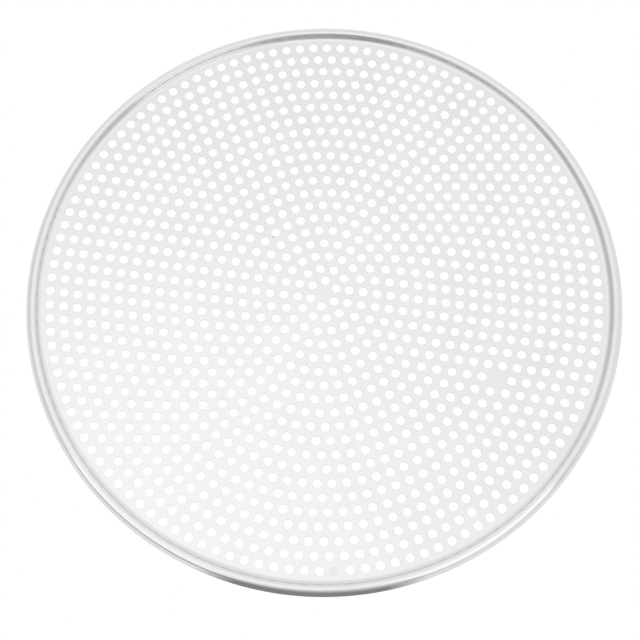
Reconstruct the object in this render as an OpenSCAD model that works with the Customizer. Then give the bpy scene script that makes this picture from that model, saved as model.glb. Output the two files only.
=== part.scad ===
/* [Disc] */
// Diameter over the cut edge of the rim
overall_d = 406.4; // [380:0.1:520]
// Thickness of the sheet
sheet_t = 1; // [0.7:0.05:1.5]

/* [Perforations] */
// Diameter of each punched hole
hole_d = 6.2; // [3:0.1:7.5]
// Radius of the innermost ring of holes
first_ring_r = 9.4; // [8.4:0.1:9.8]
// Radius of the second ring of holes
second_ring_r = 17.7; // [17.5:0.1:19]
// Step from each further ring of holes to the next
ring_step = 9.41; // [9:0.01:16]
// Holes that each ring has more than the ring inside it
holes_more = 6; // [4:1:7]
// Turn of the whole pattern about the centre, in degrees
pattern_turn = -8.1; // [-30:0.1:30]
// Least plain sheet between the outermost holes and the foot of the rim
plain_margin = 2; // [1:0.1:20]
// Places that the punch missed, as [ring from the centre, place along the ring]
unpunched = [[14, 79], [20, 93]];

/* [Rim] */
// Height of the crown above the surface that the disc lies on
rim_h = 5; // [3.6:0.1:9]
// Radius of the hollow at the foot of the inner wall
foot_r = 3; // [1.5:0.1:5]
// Radius of the crown on its inner side
inner_crown_r = 2.5; // [1.6:0.1:5]
// Radius of the crown on its outer side
outer_crown_r = 3.5; // [1.6:0.1:5]
// Width of the flat on top of the crown
crown_flat = 0.4; // [0.1:0.1:8]
// Slope of the inner wall, in degrees from level
wall_slope = 67; // [45:1:85]
// Slope of the skirt outside the crown, in degrees from level
skirt_slope = 61; // [40:1:80]
// Gap between the cut edge of the skirt and the surface that the disc lies on
skirt_gap = 0.3; // [0.1:0.1:1.5]

/* [Hidden] */
$fn = 72;

// Straight steps in each bend of the section
bend_steps = 5;
// How far a punch passes the sheet on each side
punch_over = 0.01;

// The foot and the inner crown share the climb from the floor to the crown.
climb = rim_h - sheet_t;
climb_in_bends = (foot_r + inner_crown_r) * (1 - cos(wall_slope));
climb_share = min(1, climb / climb_in_bends);
foot_bend = foot_r * climb_share;
inner_bend = inner_crown_r * climb_share;
wall_len = (climb - climb_in_bends * climb_share) / sin(wall_slope);

// The outer crown and the skirt share the drop from the crown to the cut edge.
drop = rim_h - skirt_gap;
drop_in_bend = outer_crown_r * (1 - cos(skirt_slope));
outer_bend = outer_crown_r * min(1, drop / drop_in_bend);
skirt_run = (drop - outer_bend * (1 - cos(skirt_slope))) / tan(skirt_slope);

// Distances from the centre line, from the cut edge inwards
edge_r = overall_d / 2;
outer_crown_at = edge_r - skirt_run - outer_bend * sin(skirt_slope);
inner_crown_at = outer_crown_at - crown_flat;
foot_at = inner_crown_at - (foot_bend + inner_bend) * sin(wall_slope) - wall_len * cos(wall_slope);
last_ring = 2 + floor((foot_at - plain_margin - hole_d / 2 - second_ring_r) / ring_step);

// Points along an arc about c, of radius r, from angle a to angle b
function arc(c, r, a, b) =
    [for (i = [0:bend_steps]) c + r * [cos(a + (b - a) * i / bend_steps), sin(a + (b - a) * i / bend_steps)]];

// The rim's outline from its foot to the cut edge, a depth d below the upper face of the sheet
function rim_line(d) = concat(
    arc([foot_at, sheet_t + foot_bend], foot_bend + d, 270, 270 + wall_slope),
    arc([inner_crown_at, rim_h - inner_bend], inner_bend - d, 90 + wall_slope, 90),
    arc([outer_crown_at, rim_h - outer_bend], outer_bend - d, 90, 90 - skirt_slope),
    [[edge_r - d / sin(skirt_slope), skirt_gap]]
);

function reversed(points) = [for (i = [len(points) - 1:-1:0]) points[i]];

// The pressed blank: a flat floor whose edge climbs to a crown and turns down again as a skirt
module pressed_blank() {
    rotate_extrude()
        polygon(concat([[0, sheet_t]], rim_line(0), reversed(rim_line(sheet_t)), [[0, 0]]));
}

// Radius of a ring, counted from the centre
function ring_r(ring) = ring == 1 ? first_ring_r : second_ring_r + (ring - 2) * ring_step;

// Each ring holds holes_more punches for every step out, half a place off the start line
module punches() {
    for (ring = [1:last_ring], place = [0:holes_more * ring - 1])
        if (search([[ring, place]], unpunched)[0] == [])
            rotate(pattern_turn + (place + 0.5) * 360 / (holes_more * ring))
                translate([ring_r(ring), 0, -punch_over])
                    cylinder(h = sheet_t + 2 * punch_over, d = hole_d);
}

module perforated_disc() {
    color("gainsboro")
        difference() {
            pressed_blank();
            punches();
        }
}

perforated_disc();
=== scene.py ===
# %% [markdown]
# # A perforated pizza disc
# The real object is one round of satin aluminium sheet. Rings of holes are punched through its
# flat floor, and its edge is pressed up into a low rim that turns down again as a short skirt.
# The CAD model fixes where everything is, so the lesson starts by loading it as a frame.

# %% Load the frame
import math
import bmesh
import bpy
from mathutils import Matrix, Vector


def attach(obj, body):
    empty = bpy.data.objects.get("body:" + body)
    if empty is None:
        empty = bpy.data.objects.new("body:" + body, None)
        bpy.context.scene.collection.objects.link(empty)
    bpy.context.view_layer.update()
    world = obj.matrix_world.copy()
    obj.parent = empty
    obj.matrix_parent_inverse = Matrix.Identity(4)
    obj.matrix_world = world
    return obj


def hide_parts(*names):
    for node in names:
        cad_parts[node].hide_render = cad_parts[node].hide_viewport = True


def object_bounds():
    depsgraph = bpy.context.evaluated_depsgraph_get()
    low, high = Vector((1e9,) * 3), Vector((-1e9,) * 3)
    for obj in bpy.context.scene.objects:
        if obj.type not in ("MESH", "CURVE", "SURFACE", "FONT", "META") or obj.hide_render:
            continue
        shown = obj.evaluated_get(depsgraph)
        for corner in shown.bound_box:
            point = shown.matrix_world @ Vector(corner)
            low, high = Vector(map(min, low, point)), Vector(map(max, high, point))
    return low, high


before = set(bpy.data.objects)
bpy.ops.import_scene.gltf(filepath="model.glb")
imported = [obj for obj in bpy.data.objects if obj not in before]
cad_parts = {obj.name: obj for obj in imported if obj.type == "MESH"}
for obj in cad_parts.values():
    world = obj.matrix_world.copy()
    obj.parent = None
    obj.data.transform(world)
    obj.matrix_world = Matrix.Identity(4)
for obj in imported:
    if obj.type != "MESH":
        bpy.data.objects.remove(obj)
cad_low, cad_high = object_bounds()
print("CAD box in mm:", [round(v * 1000, 2) for v in (*cad_low, *cad_high)])

# %% [markdown]
# ## The camera
# The photograph looks down on the disc from in front, 17 degrees off the vertical. The camera's
# place and turn come from fitting the centres of the photographed holes to the ring pattern, so
# the rings fall where they do in the picture. It is made first, so that every later step can be
# looked at in the photograph's own frame.

# %% Camera
mm = 0.001
camera_data = bpy.data.cameras.new("Camera")
camera_data.sensor_width = 36
camera_data.lens = 71.45
camera = bpy.data.objects.new("Camera", camera_data)
camera.location = (8.5 * mm, -268.9 * mm, 825.5 * mm)
camera.rotation_mode = "YXZ"
camera.rotation_euler = (math.radians(16.86), math.radians(0.72), 0)
bpy.context.scene.collection.objects.link(camera)
bpy.context.scene.camera = camera
print("Camera height in mm:", round(camera.location.z / mm, 1))

# %% [markdown]
# ## Sizes
# A sheet metal drawing needs few numbers: the sheet's thickness, the hole, the step between the
# rings, and the straight runs and bend radii of the rim. The outer size and the height come from
# the frame, and the rest repeats the CAD model's values.

# %% Sizes of the sheet, the holes and the rim
edge_radius = cad_high.x
rim_height = cad_high.z
sheet = 1 * mm
hole_radius = 3.1 * mm
first_ring = 9.4 * mm
second_ring = 17.7 * mm
ring_step = 9.41 * mm
holes_more = 6
rings = 20
pattern_turn = math.radians(-8.1)
unpunched = [(14, 79), (20, 93)]
foot_bend = 3 * mm
inner_crown_bend = 2.5 * mm
outer_crown_bend = 3.5 * mm
crown_flat = 0.4 * mm
wall_slope = math.radians(67)
skirt_slope = math.radians(61)
skirt_gap = 0.3 * mm
print("Rings:", rings, "holes:", holes_more * rings * (rings + 1) // 2 - len(unpunched))

# %% [markdown]
# ## The rim's section
# On the real disc a press folds the rim, and folded sheet is straight runs joined by bends. So the
# section is drawn as a few corners, each with its bend radius, and Geometry Nodes will round the
# corners. The same walk makes the upper and the lower face: the lower one is the same line moved
# by the thickness of the sheet, which makes a hollow bend wider and a crown bend tighter. A short
# level run before the foot lets the rim meet the floor on flat sheet.

# %% Corners of the rim
level_run = 1 * mm


def corner(point, before, after, depth):
    """The corner between two runs at these slopes, moved down into the sheet by depth."""
    middle, half = (before + after) / 2, (after - before) / 2
    reach = depth / math.cos(half)
    return point[0] + reach * math.sin(middle), point[1] - reach * math.cos(middle)


def rim_corners(depth):
    """Distance from the centre line, height and bend radius of each corner of the rim."""
    tangent = math.tan(wall_slope / 2)
    skirt_tangent = math.tan(skirt_slope / 2)
    skirt_top = edge_radius - (rim_height - skirt_gap) / math.tan(skirt_slope)
    crown_inside = skirt_top - outer_crown_bend * skirt_tangent - crown_flat - inner_crown_bend * tangent
    foot = crown_inside - (rim_height - sheet) / math.tan(wall_slope)
    start = foot - foot_bend * tangent - level_run
    runs = [((start, sheet), 0, 0, 0),
            ((foot, sheet), 0, wall_slope, foot_bend + depth),
            ((crown_inside, rim_height), wall_slope, 0, inner_crown_bend - depth),
            ((skirt_top, rim_height), 0, -skirt_slope, outer_crown_bend - depth)]
    line = [(*corner(point, before, after, depth), bend) for point, before, after, bend in runs]
    return line + [(edge_radius - depth / math.sin(skirt_slope), skirt_gap, 0)]


floor_radius = rim_corners(0)[0][0]
for name, depth in (("upper", 0), ("lower", sheet)):
    print(name, [tuple(round(v / mm, 2) for v in point) for point in rim_corners(depth)])

# %% [markdown]
# ## Section lines as geometry
# The node tree needs a section as a line whose points carry their bend radius. A mesh of bare
# edges with one attribute does that. One line walks the whole rim, along the upper face, round
# the cut edge and back along the lower face. A second, smaller line is the wall of a hole, whose
# upper edge the punch has drawn in a little. Distances are counted from the circle along which
# the line will be swept, and downwards, because Curve to Mesh turns a profile's Y that way.

# %% Draw a section line
def section_line(name, corners, path_radius):
    """A line of straight runs through the corners, with each corner's bend radius kept on it."""
    mesh = bpy.data.meshes.new(name)
    points = [(across - path_radius, -height, 0) for across, height, bend in corners]
    mesh.from_pydata(points, [(i, i + 1) for i in range(len(points) - 1)], [])
    bends = mesh.attributes.new("bend", "FLOAT", "POINT")
    bends.data.foreach_set("value", [bend for across, height, bend in corners])
    line = bpy.data.objects.new(name, mesh)
    bpy.context.scene.collection.objects.link(line)
    return line


edge_roll = 0.1 * mm
hole_sides = 16
side_angle = 2 * math.pi / hole_sides
drawn_hole = hole_radius * math.sqrt(side_angle / math.sin(side_angle))
rim_line = section_line("rim_section", rim_corners(0) + rim_corners(sheet)[::-1], floor_radius)
hole_line = section_line("hole_section", [(drawn_hole, 0, 0), (drawn_hole, sheet, edge_roll),
                                          (drawn_hole + edge_roll, sheet, 0)], drawn_hole)
print("Points on the rim's line:", len(rim_line.data.vertices))

# %% [markdown]
# ## Small helpers for node trees
# A Geometry Nodes tree is easier to read in a script when each node is one call. `add` makes a
# node and fills its inputs, with a plain value or with another node's output, and `calc` does the
# same for one step of arithmetic. `grey` writes a colour, since everything here is neutral.

# %% Node helpers
def feed(tree, socket, value):
    """Gives an input its value, or links it to the output that is passed."""
    if isinstance(value, bpy.types.NodeSocket):
        tree.links.new(value, socket)
    else:
        socket.default_value = value


def add(tree, kind, inputs=None, **settings):
    """Adds a node with these settings, and feeds the named or numbered inputs."""
    made = tree.nodes.new(kind)
    for name, value in settings.items():
        setattr(made, name, value)
    for name, value in (inputs or {}).items():
        feed(tree, made.inputs[name], value)
    return made


def calc(tree, operation, *values):
    """One step of arithmetic, as the output that holds its result."""
    return add(tree, "ShaderNodeMath", dict(enumerate(values)), operation=operation).outputs[0]


def grey(level):
    """A neutral colour of this level."""
    return level, level, level, 1


print("Helpers ready: feed, add, calc, grey")

# %% [markdown]
# ## Where the punch comes down
# Ring 1 has six holes, ring 2 has twelve, and so on, which keeps the holes about one step apart
# everywhere. Counted from the middle outwards, the rings before ring k hold 3k(k-1) holes, so a
# hole's running number tells its ring by one square root. The two places where the punch missed
# are taken out by their ring and their place along it. A rule like this is easier to change than a
# list of 1,258 places, which is why Points is used and not a mesh of centres.

# %% Rule for the hole centres
def hole_centres(tree, sizes):
    """Points at the centres of all holes, ring by ring from the middle."""
    more, turn = sizes["Holes more"], sizes["Turn"]
    half_more = calc(tree, "DIVIDE", more, 2)
    next_ring = calc(tree, "ADD", sizes["Rings"], 1)
    count = calc(tree, "MULTIPLY", calc(tree, "MULTIPLY", sizes["Rings"], next_ring), half_more)
    number = add(tree, "GeometryNodeInputIndex").outputs[0]
    under_root = calc(tree, "MULTIPLY_ADD", number, calc(tree, "DIVIDE", 8, more), 1.0001)
    root = calc(tree, "SQRT", under_root)
    ring = calc(tree, "FLOOR", calc(tree, "DIVIDE", calc(tree, "ADD", root, 1), 2))
    ring_before = calc(tree, "SUBTRACT", ring, 1)
    inside = calc(tree, "MULTIPLY", calc(tree, "MULTIPLY", ring, ring_before), half_more)
    place = calc(tree, "SUBTRACT", number, inside)
    part = calc(tree, "DIVIDE", calc(tree, "ADD", place, 0.5), calc(tree, "MULTIPLY", more, ring))
    angle = calc(tree, "MULTIPLY_ADD", part, 2 * math.pi, turn)
    steps_out = calc(tree, "SUBTRACT", ring, 2)
    further = calc(tree, "MULTIPLY_ADD", steps_out, sizes["Ring step"], sizes["Second ring"])
    first = calc(tree, "LESS_THAN", ring, 1.5)
    reach = add(tree, "GeometryNodeSwitch", {"Switch": first, "False": further, "True": sizes["First ring"]},
                input_type="FLOAT").outputs[0]
    across = calc(tree, "MULTIPLY", reach, calc(tree, "COSINE", angle))
    along = calc(tree, "MULTIPLY", reach, calc(tree, "SINE", angle))
    spot = add(tree, "ShaderNodeCombineXYZ", {"X": across, "Y": along})
    points = add(tree, "GeometryNodePoints", {"Count": count, "Position": spot.outputs[0]}).outputs[0]
    for missed_ring, missed_place in unpunched:
        same_ring = calc(tree, "COMPARE", ring, missed_ring, 0.1)
        same_place = calc(tree, "COMPARE", place, missed_place, 0.1)
        missed = calc(tree, "MULTIPLY", same_ring, same_place)
        keep = add(tree, "GeometryNodeStoreNamedAttribute",
                   {"Geometry": points, "Name": f"missed_{missed_ring}", "Value": missed})
        points = keep.outputs[0]
    for missed_ring, missed_place in unpunched:
        flag = add(tree, "GeometryNodeInputNamedAttribute", {"Name": f"missed_{missed_ring}"}).outputs[0]
        points = add(tree, "GeometryNodeDeleteGeometry", {"Geometry": points, "Selection": flag}).outputs[0]
    return points


print("Holes in the rings before the last:", holes_more * rings * (rings - 1) // 2)

# %% [markdown]
# ## The flat faces
# A flat face full of holes could be cut with booleans, which is slow and leaves slivers over 1,258
# cutters. Fill Curve is made for it: it gets the outer circle and all the hole circles, and fills
# what lies between. The upper face has slightly larger circles than the lower one, because of
# the drawn edge.

# %% Fill between the circles
def ring_of_edges(tree, radius, sides):
    """A circle of straight sides about the origin."""
    return add(tree, "GeometryNodeCurvePrimitiveCircle", {"Resolution": sides, "Radius": radius}).outputs[0]


def flat_face(tree, sizes, centres, circle_radius, height):
    """The floor's face at this height, with an opening of this radius at each centre."""
    circle = ring_of_edges(tree, circle_radius, sizes["Hole sides"])
    circles = add(tree, "GeometryNodeInstanceOnPoints", {"Points": centres, "Instance": circle}).outputs[0]
    drawn = add(tree, "GeometryNodeRealizeInstances", {"Geometry": circles}).outputs[0]
    outlines = add(tree, "GeometryNodeJoinGeometry")
    feed(tree, outlines.inputs[0], drawn)
    feed(tree, outlines.inputs[0], ring_of_edges(tree, sizes["Floor radius"], sizes["Rim sides"]))
    filled = add(tree, "GeometryNodeFillCurve", {"Curve": outlines.outputs[0]}, mode="TRIANGLES").outputs[0]
    lift = add(tree, "ShaderNodeCombineXYZ", {"Z": height}).outputs[0]
    return add(tree, "GeometryNodeTransform", {"Geometry": filled, "Translation": lift}).outputs[0]


print("Floor radius in mm:", round(floor_radius / mm, 2))

# %% [markdown]
# ## Turning a section
# A rim and the wall of a hole are both bodies of revolution. Each is the section line, rounded by
# Fillet Curve with the radius that every corner carries, and then swept along a circle with
# Curve to Mesh. The rim's circle has the same sides as the flat faces' outline, so that their
# points meet and can be merged.

# %% Sweep a section round the centre line
def turned(tree, line, path_radius, sides, steps):
    """The section line, with its corners rounded, swept along a circle."""
    drawn = add(tree, "GeometryNodeObjectInfo", {"Object": line}, transform_space="ORIGINAL")
    bend = add(tree, "GeometryNodeInputNamedAttribute", {"Name": "bend"}).outputs[0]
    section = add(tree, "GeometryNodeMeshToCurve", {"Mesh": drawn.outputs["Geometry"]}).outputs[0]
    section = add(tree, "GeometryNodeFilletCurve", {"Curve": section, "Count": steps, "Radius": bend},
                  mode="POLY").outputs[0]
    path = ring_of_edges(tree, path_radius, sides)
    return add(tree, "GeometryNodeCurveToMesh", {"Curve": path, "Profile Curve": section}).outputs[0]


print("Sections:", rim_line.name, "and", hole_line.name)

# %% [markdown]
# ## The whole tree
# The disc's tree has named inputs, so that anyone can open it in the editor and try another step
# or hole. It joins the two flat faces, one wall for every hole and the rim, merges the points
# that meet, and ends with Realize Instances and Set Material, so that what leaves the tree is a
# plain mesh with its finish.

# %% The disc's tree
def disc_tree(finish):
    """The node tree that makes the punched and pressed disc."""
    tree = bpy.data.node_groups.new("Punched_disc", "GeometryNodeTree")
    tree.interface.new_socket("Geometry", in_out="INPUT", socket_type="NodeSocketGeometry")
    tree.interface.new_socket("Geometry", in_out="OUTPUT", socket_type="NodeSocketGeometry")
    kinds = {"Float": ["First ring", "Second ring", "Ring step", "Turn", "Hole radius", "Edge roll", "Sheet",
                       "Floor radius"],
             "Int": ["Rings", "Holes more", "Hole sides", "Rim sides", "Roll steps", "Bend steps"],
             "Object": ["Rim section", "Hole section"]}
    for kind, names in kinds.items():
        for name in names:
            tree.interface.new_socket(name, in_out="INPUT", socket_type="NodeSocket" + kind)
    sizes = add(tree, "NodeGroupInput").outputs
    centres = hole_centres(tree, sizes)
    wide = calc(tree, "ADD", sizes["Hole radius"], sizes["Edge roll"])
    upper = flat_face(tree, sizes, centres, wide, sizes["Sheet"])
    lower = flat_face(tree, sizes, centres, sizes["Hole radius"], 0)
    lower = add(tree, "GeometryNodeFlipFaces", {"Mesh": lower}).outputs[0]
    wall = turned(tree, sizes["Hole section"], sizes["Hole radius"], sizes["Hole sides"], sizes["Roll steps"])
    walls = add(tree, "GeometryNodeInstanceOnPoints", {"Points": centres, "Instance": wall}).outputs[0]
    rim = turned(tree, sizes["Rim section"], sizes["Floor radius"], sizes["Rim sides"], sizes["Bend steps"])
    joined = add(tree, "GeometryNodeJoinGeometry")
    for part in (upper, lower, walls, rim):
        feed(tree, joined.inputs[0], part)
    plain = add(tree, "GeometryNodeRealizeInstances", {"Geometry": joined.outputs[0]}).outputs[0]
    merged = add(tree, "GeometryNodeMergeByDistance", {"Geometry": plain, "Distance": 0.005 * mm}).outputs[0]
    finished = add(tree, "GeometryNodeSetMaterial", {"Geometry": merged, "Material": finish}).outputs[0]
    add(tree, "NodeGroupOutput", {0: finished})
    return tree


def set_input(modifier, name, value):
    """Sets a modifier's input by its socket's identifier."""
    sockets = modifier.node_group.interface.items_tree
    modifier[next(s.identifier for s in sockets if s.name == name and s.in_out == "INPUT")] = value


print("Tree inputs are set by identifier, before the object is first evaluated")

# %% [markdown]
# ## Marks on the metal
# The photographed disc isn't spotless. It has three small burnt-on spots, a slightly duller patch
# where the punch missed, and a small dark mark on the inner wall at the left. Each is a soft spot
# about a place in the disc's own space, so it stays put from every side and needs no picture. The
# punched walls of the holes are bare cut metal and lighter. They are found by their height, which
# lies between the two faces of the sheet.

# %% Specks and punched walls
# Each speck is x, y, z and radius in mm, and how dark its middle is.
specks = [(-35, 41.1, 1, 0.8, 0.35), (3.6, 16.6, 1, 0.6, 0.5), (-11.5, -49.3, 1, 0.6, 0.75),
          (7.6, -187.2, 1, 4, 0.93), (-187, 55.6, 2.1, 0.7, 0.3)]
speck_core = 0.3
face_margin = 0.02 * mm


def with_specks(tree, place, tone):
    """The tone, made darker about each speck."""
    for x, y, z, radius, darkest in specks:
        middle = (x * mm, y * mm, z * mm)
        away = add(tree, "ShaderNodeVectorMath", {0: place, 1: middle}, operation="DISTANCE").outputs["Value"]
        clear = add(tree, "ShaderNodeMapRange", {"Value": away, "From Min": speck_core * radius * mm,
                                                 "From Max": radius * mm, "To Min": darkest, "To Max": 1})
        tone = calc(tree, "MULTIPLY", tone, clear.outputs[0])
    return tone


def inside_holes(tree, place):
    """One on the punched walls of the holes, and nought everywhere else."""
    height = add(tree, "ShaderNodeSeparateXYZ", {"Vector": place}).outputs["Z"]
    from_centre = add(tree, "ShaderNodeVectorMath", {0: place}, operation="LENGTH").outputs["Value"]
    above = calc(tree, "GREATER_THAN", height, face_margin)
    below = calc(tree, "LESS_THAN", height, sheet - 0.5 * edge_roll)
    on_the_floor = calc(tree, "LESS_THAN", from_centre, floor_radius - level_run)
    return calc(tree, "MULTIPLY", calc(tree, "MULTIPLY", above, below), on_the_floor)


print("Specks:", len(specks))

# %% [markdown]
# ## Satin aluminium
# Rolled aluminium sheet has a bright, slightly milky surface, which turns the lamps into soft
# patches. Here it is a metal whose gloss is drawn out away from the centre, as on a disc that was
# pressed and wiped in turns: the tangent runs round the disc, so a reflection spreads across the
# bends and not along them. A fine noise breaks up the surface and its tone, and a broad faint one
# makes it cloudy where it has been washed. Both are made from the disc's own coordinates, which
# an image texture would need unwrapping for.

# %% The finish of the sheet
bare_metal = 0.97
grains_per_metre = 1400
clouds_per_metre = 24
grain_height = 0.02 * mm


def spread(tree, noise, lower, upper):
    """Takes the noise's usual range, 0.3 to 0.7, to the range from lower to upper."""
    return add(tree, "ShaderNodeMapRange", {"Value": noise, "From Min": 0.3, "From Max": 0.7,
                                            "To Min": lower, "To Max": upper}).outputs[0]


def satin_aluminium():
    """Bright rolled aluminium with a fine grain, faint clouds and a few specks."""
    material = bpy.data.materials.new("Satin_aluminium")
    material.use_nodes = True
    tree = material.node_tree
    shader = tree.nodes["Principled BSDF"]
    shader.inputs["Metallic"].default_value = 1
    shader.inputs["Anisotropic"].default_value = 0.8
    shader.inputs["Anisotropic Rotation"].default_value = 0.25
    place = add(tree, "ShaderNodeTexCoord").outputs["Object"]
    grain = add(tree, "ShaderNodeTexNoise", {"Vector": place, "Scale": grains_per_metre, "Detail": 3})
    grain = grain.outputs["Fac"]
    clouds = add(tree, "ShaderNodeTexNoise", {"Vector": place, "Scale": clouds_per_metre, "Detail": 4})
    clouds = clouds.outputs["Fac"]
    tone = calc(tree, "MULTIPLY", spread(tree, clouds, 0.825, 0.855), spread(tree, grain, 0.985, 1.015))
    tone = with_specks(tree, place, tone)
    tone = add(tree, "ShaderNodeMix", {"Factor": inside_holes(tree, place), "A": tone, "B": bare_metal},
               data_type="FLOAT").outputs[0]
    colour = add(tree, "ShaderNodeCombineColor", {"Red": tone, "Green": tone, "Blue": tone}).outputs[0]
    feed(tree, shader.inputs["Base Color"], colour)
    feed(tree, shader.inputs["Roughness"], spread(tree, clouds, 0.17, 0.2))
    round_the_disc = add(tree, "ShaderNodeVectorMath", {0: (0, 0, 1), 1: place}, operation="CROSS_PRODUCT")
    feed(tree, shader.inputs["Tangent"], round_the_disc.outputs[0])
    bump = add(tree, "ShaderNodeBump", {"Height": grain, "Strength": 0.12, "Distance": grain_height})
    feed(tree, shader.inputs["Normal"], bump.outputs["Normal"])
    return material


aluminium = satin_aluminium()
print("Finish:", aluminium.name)

# %% [markdown]
# ## Make the disc
# The modifier sits on an empty mesh, gets its values, and is evaluated once. The result is copied
# to a plain mesh and the modifier goes, together with the two section lines. A hole is drawn as
# a polygon with sixteen sides of the same area as the true circle, which keeps the mesh small.

# %% Evaluate the tree
disc = bpy.data.objects.new("punched_disc", bpy.data.meshes.new("punched_disc"))
bpy.context.scene.collection.objects.link(disc)
punching = disc.modifiers.new("Punching", "NODES")
punching.node_group = disc_tree(aluminium)
values = {"First ring": first_ring, "Second ring": second_ring, "Ring step": ring_step,
          "Rings": rings, "Holes more": holes_more, "Turn": pattern_turn,
          "Hole radius": drawn_hole, "Edge roll": edge_roll, "Sheet": sheet, "Floor radius": floor_radius,
          "Hole sides": hole_sides, "Rim sides": 240, "Roll steps": 1, "Bend steps": 7,
          "Rim section": rim_line, "Hole section": hole_line}
for name, value in values.items():
    set_input(punching, name, value)
evaluated = disc.evaluated_get(bpy.context.evaluated_depsgraph_get())
disc.data = bpy.data.meshes.new_from_object(evaluated)
disc.modifiers.clear()
for line in (rim_line, hole_line):
    bpy.data.objects.remove(line)
print("Faces made:", len(disc.data.polygons))

# %% [markdown]
# ## One closed skin
# On the real disc the bends are soft, and the cut edge and the punched edges are sharp. Smooth
# shading with sharp edges marked by their angle gives both: a bend's steps meet at a few degrees,
# and a cut edge at sixty or more. The faces are turned outwards in the same pass, and an edge
# that doesn't have exactly two faces would show a gap in the skin.

# %% Turn the faces outwards and check the skin
skin = bmesh.new()
skin.from_mesh(disc.data)
bmesh.ops.recalc_face_normals(skin, faces=skin.faces)
for edge in skin.edges:
    edge.smooth = edge.calc_face_angle(0) < math.radians(30)
for face in skin.faces:
    face.smooth = True
    face.material_index = 0
open_edges = sum(1 for edge in skin.edges if len(edge.link_faces) != 2)
triangles = sum(len(face.verts) - 2 for face in skin.faces)
volume = skin.calc_volume(signed=True)
skin.to_mesh(disc.data)
skin.free()
disc.data.materials.clear()
disc.data.materials.append(aluminium)
print("Triangles:", triangles, "open edges:", open_edges, "volume in mm3:", round(volume * 1e9, 1))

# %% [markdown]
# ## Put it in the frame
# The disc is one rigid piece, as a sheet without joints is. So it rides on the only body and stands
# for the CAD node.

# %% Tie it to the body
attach(disc, "root")
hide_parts("perforated_disc")
print("Finishes on the disc:", [finish.name for finish in disc.data.materials])

# %% [markdown]
# ## White for the camera
# The photograph's ground is plain white, without a shadow. Brighter lamps would wash out the
# metal, so Light Path does it instead: a camera ray sees plain white, and every other ray sees the
# surface that is really there. One helper serves the floor and the world, so the two meet without
# a line. Mirrored rays can be given a level of their own.

# %% White ground
def white_for_camera(tree, surface, output, mirrored=None):
    """Shows white to the camera, the given level to mirrored rays, and the surface to the rest."""
    path = add(tree, "ShaderNodeLightPath").outputs
    glow_kind = "ShaderNodeBackground" if output.type == "OUTPUT_WORLD" else "ShaderNodeEmission"
    if mirrored is not None:
        seen = add(tree, glow_kind, {"Color": grey(1), "Strength": mirrored}).outputs[0]
        choice = {"Fac": path["Is Glossy Ray"], 1: surface, 2: seen}
        surface = add(tree, "ShaderNodeMixShader", choice).outputs[0]
    white = add(tree, glow_kind, {"Color": grey(1), "Strength": 1}).outputs[0]
    shown = add(tree, "ShaderNodeMixShader", {"Fac": path["Is Camera Ray"], 1: surface, 2: white}).outputs[0]
    feed(tree, output.inputs["Surface"], shown)


print("The ground shows as white at strength 1")

# %% [markdown]
# ## The table in the metal
# The bright rim also mirrors the table: pale all round, with a painted shadow below the disc and a
# painted reflection of the dark gap in a wedge in front of it. A reflection moves with the view,
# so it can't be painted on the rim. Instead the mirrored rays are given those levels where they
# meet the table. A ray that has gone only a millimetre or two is inside a hole, and there the table
# gives painted light at full white, which makes the hole's wall look white.

# %% The table as mirrored rays see it
# Levels for mirrored rays: the pale table, a painted reflection of the dark gap in front, and a painted
# shadow under the disc.
table_level = 0.87
painted_gap_reflection_level = 0.25
painted_shadow_level = 0.3
wedge_shift = 9 * mm
wedge_half = math.radians(14)
wedge_edge = math.radians(8)
longest_ray_in_hole = 2.5 * mm


def table_in_the_metal(tree):
    """How bright the table looks in the metal: painted light near a hole, a painted shadow under the disc,
    and round it the pale table with a painted reflection of the dark gap in front.
    """
    place = add(tree, "ShaderNodeTexCoord").outputs["Object"]
    from_centre = add(tree, "ShaderNodeVectorMath", {0: place}, operation="LENGTH").outputs["Value"]
    spot = add(tree, "ShaderNodeSeparateXYZ", {"Vector": place}).outputs
    to_the_right = calc(tree, "ADD", spot["X"], wedge_shift)
    forwards = calc(tree, "MULTIPLY", spot["Y"], -1)
    from_front = calc(tree, "ABSOLUTE", calc(tree, "ARCTAN2", to_the_right, forwards))
    # The wedge in front is a painted reflection of the dark gap where the camera stands.
    around = add(tree, "ShaderNodeMapRange", {"Value": from_front, "From Min": wedge_half,
                                              "From Max": wedge_half + wedge_edge,
                                              "To Min": painted_gap_reflection_level, "To Max": table_level})
    gone = add(tree, "ShaderNodeLightPath").outputs["Ray Length"]
    # Painted light: a ray that ends in a hole sees full white. Painted shadow: under the disc the table gets
    # a fixed dark level.
    below = calc(tree, "MAXIMUM", calc(tree, "LESS_THAN", gone, longest_ray_in_hole), painted_shadow_level)
    outside = calc(tree, "GREATER_THAN", from_centre, floor_radius)
    return add(tree, "ShaderNodeMix", {"Factor": outside, "A": below, "B": around.outputs[0]},
               data_type="FLOAT").outputs[0]


print("Table levels:", table_level, "round the disc,", painted_gap_reflection_level, "in front,", painted_shadow_level, "below")

# %% [markdown]
# ## Floor
# The table itself is one large square of matt pale grey, on which the disc lies. It isn't sampled
# as a lamp, because the light that its shader gives goes to camera and mirrored rays alone.

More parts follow.
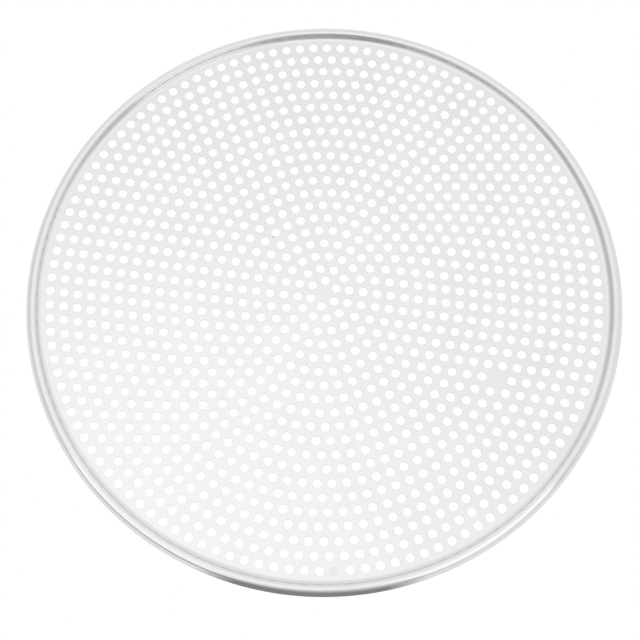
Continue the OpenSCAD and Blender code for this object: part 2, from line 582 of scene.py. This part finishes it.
# %% Floor
floor_reach = 4
floor_tone = 0.8
floor_material = bpy.data.materials.new("Pale_floor")
floor_material.use_nodes = True
floor_material.cycles.emission_sampling = "NONE"
floor_nodes = floor_material.node_tree
floor_nodes.nodes.clear()
matt = add(floor_nodes, "ShaderNodeBsdfDiffuse", {"Color": grey(floor_tone)}).outputs[0]
floor_output = add(floor_nodes, "ShaderNodeOutputMaterial")
white_for_camera(floor_nodes, matt, floor_output, table_in_the_metal(floor_nodes))
floor_mesh = bpy.data.meshes.new("floor")
floor_corners = [(-1, -1), (1, -1), (1, 1), (-1, 1)]
floor_mesh.from_pydata([(floor_reach * x, floor_reach * y, 0) for x, y in floor_corners], [], [(0, 1, 2, 3)])
floor_mesh.materials.append(floor_material)
floor = bpy.data.objects.new("floor", floor_mesh)
bpy.context.scene.collection.objects.link(floor)
print("Floor side in m:", 2 * floor_reach)

# %% [markdown]
# ## Levels round a room
# A room's walls are brighter on some sides than on others, and a colour ramp says so in few
# words: its length is one turn round the room, and each stop is one wall. Sides are counted from
# +X, anticlockwise as seen from above. Two such levels are then blended softly by height.

# %% Helpers for the room
def wall_levels(tree, part, stops):
    """How bright the walls are at each azimuth in degrees, as one ramp round the room."""
    ramp_node = add(tree, "ShaderNodeValToRGB", {"Fac": part})
    ramp = ramp_node.color_ramp
    closed = stops + [(360, stops[0][1])]
    while len(ramp.elements) < len(closed):
        ramp.elements.new(0.5)
    for stop, (angle, level) in zip(ramp.elements, closed):
        stop.position = angle / 360
        stop.color = grey(level)
    return ramp_node.outputs["Color"]


def blend_by(tree, value, start, end, lower, upper):
    """Goes softly from the lower colour to the upper one as the value goes from start to end."""
    part = add(tree, "ShaderNodeMapRange", {"Value": value, "From Min": start, "From Max": end},
               interpolation_type="SMOOTHSTEP").outputs[0]
    return add(tree, "ShaderNodeMix", {"Factor": part, "A": lower, "B": upper}, data_type="RGBA").outputs[2]


def way_to(azimuth, elevation):
    """The direction to this side and height, both in degrees."""
    side, up = math.radians(azimuth), math.radians(elevation)
    return math.cos(up) * math.cos(side), math.cos(up) * math.sin(side), math.sin(up)


print("Way to the front:", [round(v, 3) for v in way_to(270, 0)])

# %% [markdown]
# ## Studio light
# A metal shows its surroundings, so lighting it means placing pale and dark things round it. The
# world is the studio: an even ceiling with a slightly brighter panel nearly overhead, and walls
# whose brightness changes with the side one looks at, with a dark gap in front where the camera
# stands. The rim mirrors every side of the room in turn, so each wall's level was set by how pale
# or dark the rim looks there.

# %% The studio's walls and ceiling
low_wall_stops = [(0, 0.81), (30, 0.76), (60, 0.96), (120, 0.95), (150, 0.62), (180, 0.53), (205, 0.37),
                  (235, 0.23), (255, 0.2), (266, 0.3), (285, 0.42), (302, 0.62), (315, 0.70), (332, 0.56)]
high_wall_stops = [(0, 0.89), (50, 0.93), (90, 0.83), (120, 0.89), (155, 0.79), (200, 0.86), (215, 0.70),
                   (240, 0.64), (252, 0.56), (270, 0.48), (285, 0.59), (300, 0.66), (330, 0.70), (345, 0.80)]
ceiling_level = 0.955
panel_level = 1.1
panel_way = way_to(138, 79.5)


def studio_world():
    """A world whose brightness follows the height and the side that a ray looks at."""
    world = bpy.data.worlds.new("Studio")
    bpy.context.scene.world = world
    world.use_nodes = True
    tree = world.node_tree
    tree.nodes.clear()
    way = add(tree, "ShaderNodeTexCoord").outputs["Generated"]
    sides = add(tree, "ShaderNodeSeparateXYZ", {"Vector": way}).outputs
    turn = calc(tree, "ARCTAN2", sides["Y"], sides["X"])
    part = calc(tree, "FRACT", calc(tree, "DIVIDE", calc(tree, "ADD", turn, 2 * math.pi), 2 * math.pi))
    foot_of_walls = wall_levels(tree, part, low_wall_stops)
    top_of_walls = wall_levels(tree, part, high_wall_stops)
    near_panel = add(tree, "ShaderNodeVectorMath", {0: way, 1: panel_way}, operation="DOT_PRODUCT")
    near_panel = near_panel.outputs["Value"]
    ceiling = blend_by(tree, near_panel, 0.95, 1, grey(ceiling_level), grey(panel_level))
    walls = blend_by(tree, sides["Z"], 0.2, 0.5, foot_of_walls, top_of_walls)
    level = blend_by(tree, sides["Z"], 0.7, 0.95, walls, ceiling)
    light = add(tree, "ShaderNodeBackground", {"Color": level}).outputs[0]
    white_for_camera(tree, light, add(tree, "ShaderNodeOutputWorld"))


studio_world()
print("World:", bpy.context.scene.world.name)

# %% [markdown]
# ## Two soft boxes
# The bright streaks on the near rim come from two lamps in front of the disc, one on each side of
# the camera. They stand close by, so the far rim sees them lower than the near rim does, and
# shows them again in its inner wall. An area lamp is a soft box as it is in a studio: its size
# sets how long the streak is, and its power how bright. Both are dim, since the walls already
# light the disc, and both are hidden from the camera, as they are outside the photograph.

# %% Lamps
def soft_box(name, azimuth, elevation, distance, width, height, watts):
    """A rectangular lamp that faces the disc from this side and height, in degrees and metres."""
    lamp = bpy.data.lights.new(name, "AREA")
    lamp.shape = "RECTANGLE"
    lamp.size, lamp.size_y, lamp.energy = width, height, watts
    box = bpy.data.objects.new(name, lamp)
    box.location = [distance * along for along in way_to(azimuth, elevation)]
    box.rotation_euler = box.location.to_track_quat("Z", "Y").to_euler()
    box.visible_camera = False
    bpy.context.scene.collection.objects.link(box)


soft_box("soft_box_left", 225, 30, 0.495, 0.35, 0.24, 0.105)
soft_box("soft_box_right", 310, 33.5, 0.51, 0.31, 0.39, 0.155)

# %% [markdown]
# ## Plain colours
# The view transform is Standard, so a colour renders as it is written. The finished disc keeps to
# the CAD model's box.

bpy.context.scene.view_settings.view_transform = "Standard"
